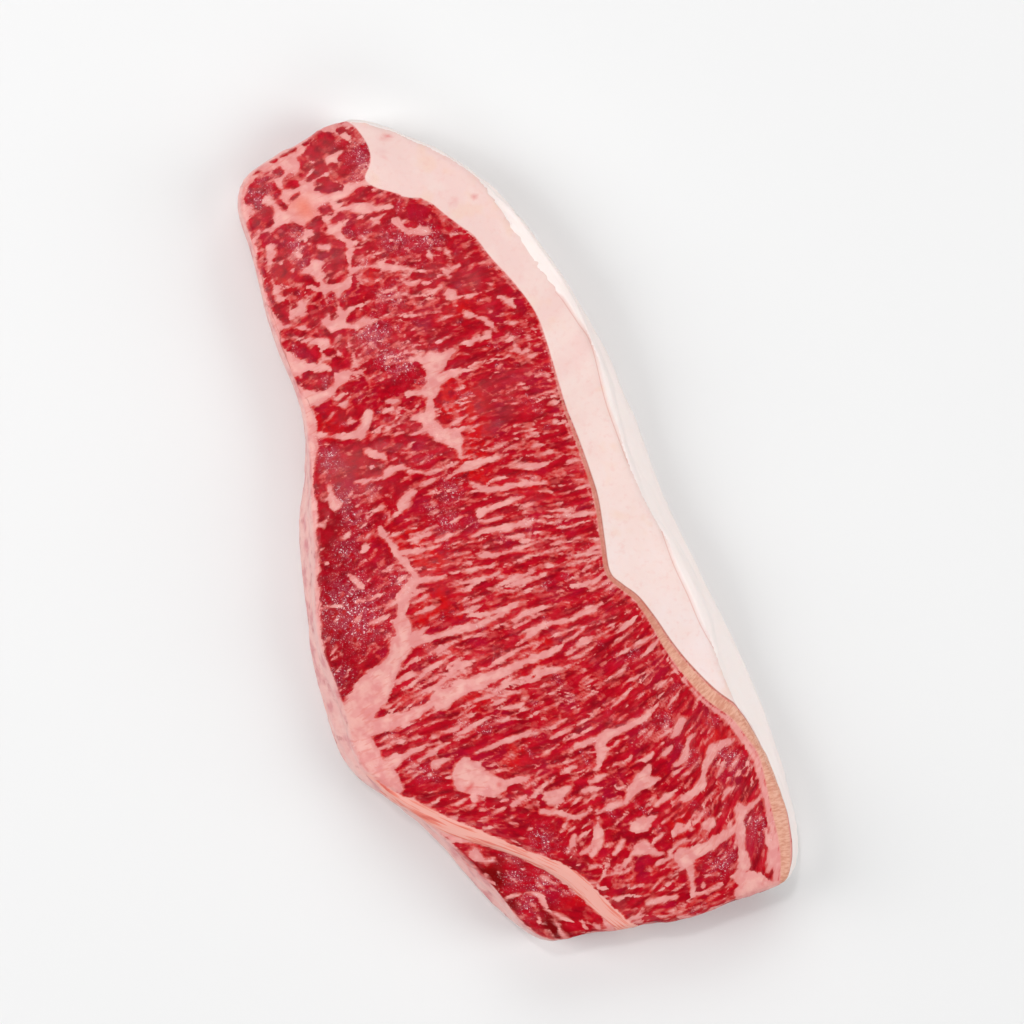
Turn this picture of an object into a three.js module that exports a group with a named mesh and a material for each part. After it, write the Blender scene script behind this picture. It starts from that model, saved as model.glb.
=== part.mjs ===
// A raw, heavily marbled sirloin steak lying flat, cut face up, in millimetres with +Z up.
// +X is the side of the fat cap and +Y the narrow end. The origin is on the surface it lies on,
// under the centre of the steak. It is one piece of meat, so it is one solid: a block whose
// plan is the steak's outline and whose wall swells outwards below the crisp edge of the cut.
import * as THREE from "three";
import { mergeVertices } from "three/addons/utils/BufferGeometryUtils.js";

// The cut
const THICKNESS = 20;
const CUT_EDGE_RADIUS = 1.8;
const FOOT_RADIUS_IN = 3.4;
const FOOT_RADIUS_UP = 5.2;
const LEAST_SWELL = 1.2;

// How finely the block is divided: across, along, and up its wall
const ACROSS = 26;
const ALONG = 52;
const FOOT_STEPS = [0, 0.45, 1];
const WALL_STEPS = [0.3, 0.65];
const CUT_EDGE_STEPS = [0, 0.5, 1];

// The outline seen from above, anticlockwise, in four edges that each start at a corner.
const EDGES = {
  chine: [[-70.7, 92], [-73.5, 85.5], [-70.4, 74.5], [-63.7, 49.7], [-56.4, 30.5], [-55.7, 16],
    [-57.4, 3], [-56, -16], [-52.5, -38.7], [-45.4, -60], [-24.5, -77.6], [-9, -94.8]],
  tail: [[5.6, -106.4], [21, -104.6], [42, -101.1], [60, -95]],
  fat_cap: [[71, -90.2], [72.8, -79.5], [67.1, -54.3], [54.1, -23.1], [39.2, 7.2], [27, 39.3],
    [9.6, 70.2], [-7.5, 90.6], [-25, 101.6]],
  head: [[-43.7, 106.8], [-57, 100.8]],
};

// Where the wall swells out below the cut edge: the middle of the stretch, how far along it
// reaches either way, and by how much the foot stands outside the cut edge.
const SWELLS = [
  { x: -57, y: -4, reach: 17, out: 3.6 },
  { x: -50, y: -48, reach: 20, out: 4.4 },
  { x: -13, y: -90, reach: 17, out: 2.8 },
  { x: 60, y: -38, reach: 27, out: 5.2 },
  { x: 33, y: 20, reach: 27, out: 4.6 },
];

// Soft hollows round the wall between the foot and the cut edge, and the uneven line of the foot
const HOLLOW_DEPTH = 0.5;
const HOLLOWS_ROUND = [7, 17];
const FOOT_UNEVEN = 0.7;
const FOOT_TURNS_ROUND = 11;

// The silverskin seam between the eye of the sirloin and the small muscle at the tail
const SEAM = [[-36, -69], [-22.9, -73.8], [0.5, -85.5], [21.3, -97.2], [31.7, -104]];
const SEAM_STEPS = 60;
const SEAM_GROOVE_DEPTH = 1.3;
const SEAM_GROOVE_HALF_WIDTH = 3.2;
const SMALL_MUSCLE_DROP = { from: 1, to: -6, by: 1.3 };

// The cut face isn't flat: it falls away at both ends, along the soft fat and at one shoulder.
const HEAD_DROP = { from: 62, to: 104, by: 2.6 };
const TAIL_DROP = { from: -72, to: -102, by: 1.5 };
const CAP_DROP = { from: 0.74, to: 1, by: 1.5 };
const SHOULDER_DROP = { x: -47, y: -60, reach: 13, by: 3.2 };
const NECK_DIP = { x: -54, y: 26, reach: 12, by: 1.2 };
const WAVES = [
  { length: 46, heading: 0.5, height: 0.45, shift: 0.8 },
  { length: 29, heading: 2.1, height: 0.3, shift: 2.4 },
  { length: 17, heading: 1.2, height: 0.16, shift: 4.1 },
];

const smoothstep = (from, to, value) => {
  const t = THREE.MathUtils.clamp((value - from) / (to - from), 0, 1);
  return t * t * (3 - 2 * t);
};
const bell = (distance, reach) => Math.exp(-((distance / reach) ** 2));

// The closed outline, and the share of its length at which each edge starts
const names = Object.keys(EDGES);
const outlinePoints = names.flatMap((name) => EDGES[name]);
const outline = new THREE.CatmullRomCurve3(
  outlinePoints.map(([x, y]) => new THREE.Vector3(x, y, 0)), true, "centripetal");
const STEPS_A_POINT = 40;
outline.arcLengthDivisions = outlinePoints.length * STEPS_A_POINT;
const lengths = outline.getLengths();
const outlineLength = lengths[lengths.length - 1];
const starts = {};
names.reduce((before, name) => {
  starts[name] = lengths[before * STEPS_A_POINT] / outlineLength;
  return before + EDGES[name].length;
}, 0);
starts.end = 1;

// A point of the outline moved inwards. The direction is read over a short chord, so that the
// corners keep an even, unfolded margin.
const CHORD = 7;
function rim(share, inset) {
  const wrap = (s) => ((s % 1) + 1) % 1;
  const point = outline.getPointAt(wrap(share));
  const ahead = outline.getPointAt(wrap(share + CHORD / outlineLength));
  const behind = outline.getPointAt(wrap(share - CHORD / outlineLength));
  const along = ahead.sub(behind).normalize();
  return new THREE.Vector2(point.x - along.y * inset, point.y + along.x * inset);
}

const swell = (point) => SWELLS.reduce((sum, s) =>
  sum + s.out * bell(Math.hypot(point.x - s.x, point.y - s.y), s.reach), LEAST_SWELL);

const turns = (share, times) => Math.sin(2 * Math.PI * share * times + times);
const hollow = (share) => HOLLOWS_ROUND.reduce((sum, times) =>
  sum + (HOLLOW_DEPTH * (1 + turns(share, times))) / 2, 0);

// How the wall runs from the foot to the cut face: each level's inset, for the swell and the
// share of the way round there, and its height, for the height of the cut face.
const QUARTER = Math.PI / 2;
const LEVELS = [
  ...FOOT_STEPS.map((t) => ({
    inset: (out, share) => (1 - Math.sin(t * QUARTER))
      * (FOOT_RADIUS_IN + FOOT_UNEVEN * turns(share, FOOT_TURNS_ROUND)),
    height: () => FOOT_RADIUS_UP * (1 - Math.cos(t * QUARTER)),
  })),
  ...WALL_STEPS.map((t) => ({
    inset: (out, share) => out * smoothstep(0, 1, t) + hollow(share) * Math.sin(Math.PI * t),
    height: (top) => THREE.MathUtils.lerp(FOOT_RADIUS_UP, top - CUT_EDGE_RADIUS, t),
  })),
  ...CUT_EDGE_STEPS.map((t) => ({
    inset: (out) => out + CUT_EDGE_RADIUS * (1 - Math.cos(t * QUARTER)),
    height: (top) => top - CUT_EDGE_RADIUS * (1 - Math.sin(t * QUARTER)),
  })),
];
const TOP_LEVEL = LEVELS.length - 1;

// A Coons patch: the four edges of the outline at one level, blended over the plan.
// across and along run from 0 to 1.
function plan(across, along, level) {
  const at = (share) => {
    const p = outline.getPointAt(share % 1);
    return rim(share, LEVELS[level].inset(swell(p), share));
  };
  const edge = (from, to, t) => at(THREE.MathUtils.lerp(starts[from], starts[to], t));
  const left = edge("chine", "tail", 1 - along);
  const right = edge("fat_cap", "head", along);
  const bottom = edge("tail", "fat_cap", across);
  const top = edge("head", "end", 1 - across);
  const corners = [
    [edge("tail", "fat_cap", 0), (1 - across) * (1 - along)],
    [edge("tail", "fat_cap", 1), across * (1 - along)],
    [edge("chine", "tail", 0), (1 - across) * along],
    [edge("fat_cap", "head", 1), across * along],
  ];
  const p = left.multiplyScalar(1 - across).addScaledVector(right, across)
    .addScaledVector(bottom, 1 - along).addScaledVector(top, along);
  for (const [corner, share] of corners) p.addScaledVector(corner, -share);
  return p;
}

const seamPoints = new THREE.SplineCurve(SEAM.map(([x, y]) => new THREE.Vector2(x, y)))
  .getSpacedPoints(SEAM_STEPS);

// Distance from the seam, negative on the side of the small muscle
function seamDistance(x, y) {
  let nearest = 0;
  let least = Infinity;
  seamPoints.forEach((p, i) => {
    const d = Math.hypot(x - p.x, y - p.y);
    if (d < least) [least, nearest] = [d, i];
  });
  const i = Math.min(nearest, seamPoints.length - 2);
  const a = seamPoints[i];
  const b = seamPoints[i + 1];
  return Math.sign((b.x - a.x) * (y - a.y) - (b.y - a.y) * (x - a.x)) * least;
}

// The height of the cut face
function faceHeight(x, y, across) {
  const seam = seamDistance(x, y);
  const ramps = [[HEAD_DROP, y], [TAIL_DROP, y], [CAP_DROP, across], [SMALL_MUSCLE_DROP, seam]];
  const drops = SEAM_GROOVE_DEPTH * bell(seam, SEAM_GROOVE_HALF_WIDTH)
    + ramps.reduce((sum, [d, at]) => sum + d.by * smoothstep(d.from, d.to, at), 0)
    + [SHOULDER_DROP, NECK_DIP].reduce((sum, d) =>
      sum + d.by * bell(Math.hypot(x - d.x, y - d.y), d.reach), 0);
  const waves = WAVES.reduce((sum, w) => sum + w.height * Math.sin(
    (2 * Math.PI * (x * Math.cos(w.heading) + y * Math.sin(w.heading))) / w.length + w.shift), 0);
  return THICKNESS - drops + waves;
}

// The block: a divided box whose vertices are moved to the plan and the heights above.
function steakGeometry() {
  const box = new THREE.BoxGeometry(1, 1, 1, ACROSS, ALONG, TOP_LEVEL);
  box.deleteAttribute("normal");
  box.deleteAttribute("uv");
  const block = mergeVertices(box, 1e-4);
  const position = block.getAttribute("position");
  for (let i = 0; i < position.count; i += 1) {
    const across = position.getX(i) + 0.5;
    const along = position.getY(i) + 0.5;
    const level = Math.round((position.getZ(i) + 0.5) * TOP_LEVEL);
    const p = plan(across, along, level);
    const cut = plan(across, along, TOP_LEVEL);
    const top = faceHeight(cut.x, cut.y, across);
    position.setXYZ(i, p.x, p.y, LEVELS[level].height(top));
  }
  block.computeBoundingBox();
  const { min, max } = block.boundingBox;
  block.translate(-(min.x + max.x) / 2, -(min.y + max.y) / 2, 0);
  block.computeVertexNormals();
  return block;
}

// Red lean and pale fat, taken together
const MEAT_RED = [0.6, 0.12, 0.12];
const WET_ROUGHNESS = 0.35;
const marbledMeat = new THREE.MeshStandardMaterial({
  color: new THREE.Color(...MEAT_RED), roughness: WET_ROUGHNESS, metalness: 0,
});

const steak = new THREE.Mesh(steakGeometry(), marbledMeat);
steak.name = "steak";

const group = new THREE.Group();
group.add(steak);

export default group;
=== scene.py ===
# %% [markdown]
# # A raw sirloin steak
# The steak is one slab of meat lying on its cut face: crimson lean streaked with fat, a thick fat
# cap down one side, silverskin across the tail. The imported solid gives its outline, thickness and
# place, and this lesson turns a copy of it into meat. Marbling could be painted as an image, but
# then it would stay on the picture's grid and say nothing of how meat is built. Here it is grown:
# seams are laid where they were seen, streaks follow the grain, and both the relief of the
# surface and its colour read the same map.

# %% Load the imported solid
import math

import bpy
import numpy as np
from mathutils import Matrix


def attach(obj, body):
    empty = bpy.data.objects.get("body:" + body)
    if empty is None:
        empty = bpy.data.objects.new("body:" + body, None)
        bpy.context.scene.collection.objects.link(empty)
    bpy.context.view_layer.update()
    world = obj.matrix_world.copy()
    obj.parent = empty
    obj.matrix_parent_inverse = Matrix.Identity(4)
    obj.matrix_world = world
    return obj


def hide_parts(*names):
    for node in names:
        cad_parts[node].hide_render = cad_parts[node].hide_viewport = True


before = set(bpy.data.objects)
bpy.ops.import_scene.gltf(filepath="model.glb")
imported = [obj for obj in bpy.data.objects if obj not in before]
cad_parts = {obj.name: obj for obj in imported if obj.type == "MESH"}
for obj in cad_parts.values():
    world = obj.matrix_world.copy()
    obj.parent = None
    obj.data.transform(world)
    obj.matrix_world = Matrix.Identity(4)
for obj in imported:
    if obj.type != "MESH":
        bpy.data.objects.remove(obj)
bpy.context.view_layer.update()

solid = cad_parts["steak"]
MM = 0.001
print("packed solid:", [round(side / MM, 1) for side in solid.dimensions], "mm")

# %% [markdown]
# ## The slab
# The solid is made of flat triangles about 4 mm wide, too coarse for flesh. Subdividing them all
# would spend most faces where nothing is seen. So the copy is rounded with one Subdivision
# Surface, wrapped in an even skin of half-millimetre squares by a voxel Remesh, and then only
# the lean of the cut face keeps them: the plain fat, the sides and the underside are thinned in
# edit mode once the map says where they are.

# %% Copy the solid and give it an even skin
bpy.ops.object.select_all(action="DESELECT")
steak = bpy.data.objects.new("marbled_steak", solid.data.copy())
bpy.context.scene.collection.objects.link(steak)
bpy.context.view_layer.objects.active = steak
steak.select_set(True)
steak.data.materials.clear()

bpy.ops.object.mode_set(mode="EDIT")
bpy.ops.mesh.select_all(action="SELECT")
bpy.ops.mesh.remove_doubles(threshold=0.01 * MM)
bpy.ops.mesh.tris_convert_to_quads()
bpy.ops.object.mode_set(mode="OBJECT")

SKIN_SQUARE = 0.5 * MM
rounding = steak.modifiers.new("rounding", "SUBSURF")
rounding.levels = rounding.render_levels = 2
bpy.ops.object.modifier_apply(modifier=rounding.name)
skin = steak.modifiers.new("skin", "REMESH")
skin.mode = "VOXEL"
skin.voxel_size = SKIN_SQUARE
bpy.ops.object.modifier_apply(modifier=skin.name)
relax = steak.modifiers.new("relax", "SMOOTH")
relax.factor, relax.iterations = 0.5, 6
bpy.ops.object.modifier_apply(modifier=relax.name)
print("even skin:", len(steak.data.vertices), "points,", len(steak.data.polygons), "squares")

# %% [markdown]
# ## A map of the cut face
# Everything that follows is drawn on one flat map of the face, in millimetres, a quarter of a
# millimetre a cell. Places are written in pixels of the photo, as they were read off it, and
# turned into millimetres here, so each one can be found again in the picture. A map of
# distances is worth more than a map of colours: it keeps its sharp edges when it is read between
# cells, and it can be widened, torn or blurred later by adding to it.

# %% The map's cells, and how places and lines are put on it
MM_A_PIXEL = 0.26
ORIGIN_PX, ORIGIN_PY = 516.85, 531
CELL = 0.25
GRID_X = np.arange(-76, 76, CELL)
GRID_Y = np.arange(-110, 110, CELL)
X, Y = np.meshgrid(GRID_X, GRID_Y)


def place(points):
    """Places in the photo's pixels, as millimetres on the face."""
    p = np.array(points, float)
    return np.column_stack((p[:, 0] - ORIGIN_PX, ORIGIN_PY - p[:, 1])) * MM_A_PIXEL


def curve(points, step=1.0):
    """A smooth line through a few places, as points about one step apart."""
    p = place(points)
    p = np.vstack((2 * p[0] - p[1], p, 2 * p[-1] - p[-2]))
    runs = []
    for a, b, c, d in zip(p[:-3], p[1:-2], p[2:-1], p[3:]):
        n = max(1, int(round(np.hypot(*(c - b)) / step)))
        t = np.arange(n)[:, None] / n
        runs.append(0.5 * (2 * b + (c - a) * t + (2 * a - 5 * b + 4 * c - d) * t**2
                           + (3 * b - a - 3 * c + d) * t**3))
    return np.vstack((*runs, p[-2:-1]))


def read_map(values, x, y, cell=CELL):
    """A map's values at points between its cells."""
    col = np.clip((np.asarray(x) - GRID_X[0]) / cell, 0, values.shape[1] - 1.001)
    row = np.clip((np.asarray(y) - GRID_Y[0]) / cell, 0, values.shape[0] - 1.001)
    r, c = row.astype(int), col.astype(int)
    f, g = row - r, col - c
    return ((values[r, c] * (1 - g) + values[r, c + 1] * g) * (1 - f)
            + (values[r + 1, c] * (1 - g) + values[r + 1, c + 1] * g) * f)


COARSE = 4


def on_every_cell(work):
    """A slow smooth map, worked out on every fourth cell and read back on all of them."""
    return [read_map(m, X, Y, CELL * COARSE)
            for m in work(X[::COARSE, ::COARSE], Y[::COARSE, ::COARSE])]


TABLE = 128


def patches(x, y, size, seed):
    """Soft random patches of about one size, from -1 to 1."""
    table = np.random.default_rng(seed).uniform(-1, 1, (TABLE, TABLE))
    u, v = x / size + 37.0, y / size + 53.0
    i, j = np.floor(u).astype(int), np.floor(v).astype(int)
    f, g = (t**3 * (t * (t * 6 - 15) + 10) for t in (u - i, v - j))
    i0, i1, j0, j1 = i % TABLE, (i + 1) % TABLE, j % TABLE, (j + 1) % TABLE
    return ((table[i0, j0] * (1 - f) + table[i1, j0] * f) * (1 - g)
            + (table[i0, j1] * (1 - f) + table[i1, j1] * f) * g)


def ramp(value, start, end):
    """0 at the start, 1 at the end, and smooth between them."""
    t = np.clip((value - start) / (end - start), 0, 1)
    return t * t * (3 - 2 * t)


def line_distance(x, y, line):
    """Distance from a line, positive on its left, and how far along it the nearest point is."""
    best = np.full(np.shape(x), 1e9)
    side, along = np.ones(np.shape(x)), np.zeros(np.shape(x))
    for k, (a, b) in enumerate(zip(line[:-1], line[1:])):
        d = b - a
        t = np.clip(((x - a[0]) * d[0] + (y - a[1]) * d[1]) / (d @ d), 0, 1)
        dx, dy = x - a[0] - t * d[0], y - a[1] - t * d[1]
        distance = np.hypot(dx, dy)
        closer = distance < best
        best = np.where(closer, distance, best)
        side = np.where(closer, np.sign(d[0] * dy - d[1] * dx), side)
        along = np.where(closer, (k + t) / (len(line) - 1), along)
    return best * side, along


print("map:", X.shape[1], "by", X.shape[0], "cells")

# %% [markdown]
# ## The borders of the muscles
# Four lines divide the face. The first parts the lean from the fat cap, with a thin tan membrane
# that thickens towards the tail. The second follows the bone side, where a rim of fat and
# silverskin wraps the muscle. The third is the silverskin that cuts the small tail muscle off
# from the eye. The fourth is the faint crease where the cap's cut face turns into its side.

# %% Borders
CAP_BORDER = curve([
    (346, 112), (350, 124), (358, 133), (369, 150), (372, 166), (366, 183), (378, 192), (392, 196),
    (405, 201), (428, 205), (443, 216), (460, 229), (475, 240), (490, 260), (513, 285), (533, 312),
    (543, 335), (558, 385), (565, 408), (576, 436), (588, 470), (597, 500), (603, 540), (608, 571),
    (620, 583), (636, 595), (652, 615), (670, 641), (688, 663), (713, 688), (737, 706), (755, 728),
    (769, 748), (780, 780), (787, 817), (790, 850), (788, 885), (786, 905)])
RIM = curve([
    (330, 108), (300, 138), (262, 165), (243, 182), (242, 200), (247, 222), (255, 245), (261, 268),
    (268, 292), (276, 315), (285, 345), (298, 385), (314, 408), (318, 425), (319, 440), (321, 452),
    (316, 470), (317, 488), (320, 510), (321, 540), (322, 575), (323, 600), (326, 640), (328, 668),
    (331, 695), (338, 712), (350, 735), (362, 762), (378, 786), (397, 802), (416, 816), (432, 829),
    (444, 846), (457, 868), (473, 883), (493, 897), (516, 914), (530, 925), (539, 938), (542, 955)])
SEAM = curve([(372, 775), (395, 794), (420, 808), (450, 822), (480, 833), (510, 844), (540, 857),
              (563, 868), (582, 884), (603, 905), (625, 923), (640, 935)])
CREASE = curve([(560, 300), (577, 325), (590, 345), (601, 390), (607, 411), (619, 443), (627, 463),
                (639, 484), (654, 512), (670, 560), (686, 595), (698, 623), (713, 649), (725, 672),
                (737, 696), (755, 728), (768, 760), (778, 790)])
CAP, CAP_ALONG = on_every_cell(lambda x, y: line_distance(x, y, CAP_BORDER))
RIM_OUT = -on_every_cell(lambda x, y: line_distance(x, y, RIM)[:1])[0]
SEAM_AT, SEAM_ALONG = on_every_cell(lambda x, y: line_distance(x, y, SEAM))
CREASE_AT = on_every_cell(lambda x, y: line_distance(x, y, CREASE)[:1])[0]
LEAN = np.minimum(-CAP, -RIM_OUT)
print("lean face:", round(float((LEAN > 0).sum()) * CELL**2 / 100), "square centimetres")

# %% [markdown]
# ## The grain
# Muscle fibres run in bundles, and fat settles between them, so a streak of fat points where the
# bundles point. The table gives that heading at about fifty places, with how long and wide the
# streaks are there, how far the muscle is broken into round lobes instead, and how fat it is.
# Between the places the values are blended. Two smooth coordinates, along and across the grain,
# are then relaxed out of the headings, so that noise can be stretched along the fibres.

# %% The table of the grain, and the coordinates along and across it
GRAIN = [  # px, py, degrees, streak length in mm, streak width in px, lobes, fat
    (320, 150, 40, 5, 5, 1.0, 0.3), (280, 180, 40, 5, 5, 1.0, 0.7), (350, 160, 60, 5, 4, 0.6, 0.0),
    (270, 240, 45, 5, 5, 1.0, 0.6), (350, 250, 8, 6, 5, 0.8, 0.3), (300, 310, 30, 5, 5, 1.0, 0.8),
    (420, 240, -5, 6, 4, 0.5, 0.2), (400, 290, 12, 8, 4, 0.5, 0.4), (480, 290, 20, 7, 4, 0.4, 0.4),
    (310, 360, 20, 5, 4, 1.0, 0.5), (370, 350, 14, 6, 4, 0.8, 0.4), (450, 320, 16, 7, 4, 0.5, 0.4),
    (520, 350, 14, 8, 4, 0.3, 0.3), (350, 420, 24, 6, 4, 0.6, 0.1), (400, 390, 25, 6, 4, 0.7, 0.3),
    (480, 400, 18, 8, 4, 0.3, 0.1), (540, 420, 12, 9, 4, 0.2, 0.2), (360, 500, 30, 5, 4, 0.7, 0.1),
    (460, 500, 20, 10, 4, 0.2, 0.2), (550, 490, 9, 16, 5, 0.0, 0.3), (350, 580, 36, 5, 4, 0.7, 0.0),
    (450, 570, 19, 20, 6, 0.0, 0.3), (550, 560, 12, 20, 5.5, 0.0, 0.3),
    (350, 650, 42, 5, 4, 0.7, 0.1), (450, 640, 24, 24, 6, 0.0, 0.3),
    (550, 620, 19, 24, 6, 0.0, 0.4), (610, 610, 36, 14, 4.5, 0.0, 0.3),
    (430, 700, 32, 20, 6, 0.0, 0.3), (520, 690, 23, 22, 6, 0.0, 0.4),
    (600, 660, 31, 17, 5, 0.0, 0.3), (650, 660, 40, 10, 4, 0.1, 0.2),
    (400, 750, 28, 10, 6, 0.1, 0.0), (480, 740, 24, 14, 5, 0.1, 0.3),
    (570, 720, 27, 12, 5, 0.1, 0.3), (640, 720, 38, 10, 4, 0.1, 0.1),
    (700, 715, 62, 8, 4, 0.15, 0.1), (745, 760, 72, 8, 4, 0.15, 0.1),
    (460, 800, 30, 8, 4, 0.2, 0.1), (540, 780, 27, 11, 4, 0.1, 0.1),
    (610, 780, 31, 11, 3.8, 0.1, 0.0), (670, 790, 44, 11, 3.8, 0.1, 0.0),
    (720, 800, 60, 10, 3.8, 0.1, 0.0), (755, 840, 85, 7, 3.8, 0.2, 0.0),
    (580, 840, 50, 8, 3.6, 0.2, 0.1), (640, 860, 24, 8, 3.6, 0.3, 0.1),
    (700, 870, 25, 8, 3.6, 0.3, 0.0), (640, 900, 15, 8, 3.6, 0.3, 0.1),
    (470, 850, -20, 5, 6, 0.8, 0.3), (520, 890, -35, 6, 6, 0.5, 0.0),
    (570, 900, -50, 6, 6, 0.7, 0.3)]
GRAIN_REACH = 9.0


def grain_style(x, y):
    """Heading, streak length and width, lobes and fatness at any place."""
    total = np.full(np.shape(x), 1e-9)
    sums = [np.zeros(np.shape(x)) for _ in range(6)]
    for px, py, degrees, length, width, lobed, fatty in GRAIN:
        gx, gy = place([(px, py)])[0]
        square = (x - gx)**2 + (y - gy)**2
        weight = np.exp(-square / GRAIN_REACH**2) + 1e-4 / (1 + square / 400)
        a = math.radians(degrees)
        for s, value in zip(sums, (math.cos(a), math.sin(a), length, width, lobed, fatty)):
            s += weight * value
        total += weight
    cos, sin, length, width, lobed, fatty = (s / total for s in sums)
    return np.arctan2(sin, cos), length, width * MM_A_PIXEL, lobed, fatty


HEADING, LENGTH, WIDTH, LOBED, FATTY = on_every_cell(grain_style)


def relaxed(step_x, step_y, rounds=5000, every=8):
    """The smooth height whose steps come nearest to the steps asked for."""
    h = CELL * every
    gx, gy = step_x[::every, ::every], step_y[::every, ::every]
    ex, ey = (gx[:, 1:] + gx[:, :-1]) / 2 * h, (gy[1:] + gy[:-1]) / 2 * h
    f = X[::every, ::every] * gx.mean() + Y[::every, ::every] * gy.mean()
    count = np.full(f.shape, 4.0)
    count[0] -= 1
    count[-1] -= 1
    count[:, 0] -= 1
    count[:, -1] -= 1
    for _ in range(rounds):
        total = np.zeros_like(f)
        total[:, :-1] += f[:, 1:] - ex
        total[:, 1:] += f[:, :-1] + ex
        total[:-1] += f[1:] - ey
        total[1:] += f[:-1] + ey
        f = total / count
    return read_map(f - f.mean(), X, Y, h)


U = relaxed(np.cos(HEADING), np.sin(HEADING))
V = relaxed(-np.sin(HEADING), np.cos(HEADING))
print("along the grain", round(float(np.ptp(U))), "mm, across", round(float(np.ptp(V))), "mm")

# %% [markdown]
# ## The big seams
# These are the fat seams that anyone would know this steak by: the channels in the head, the
# river in the middle, the seam that rounds the left muscle, the blots at the tail. Each is a
# short line with its width in photo pixels. A clean stroke looks like a noodle, so the sheet it
# is drawn on is pushed about by soft noise, and its width rises and falls along the way.

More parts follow.
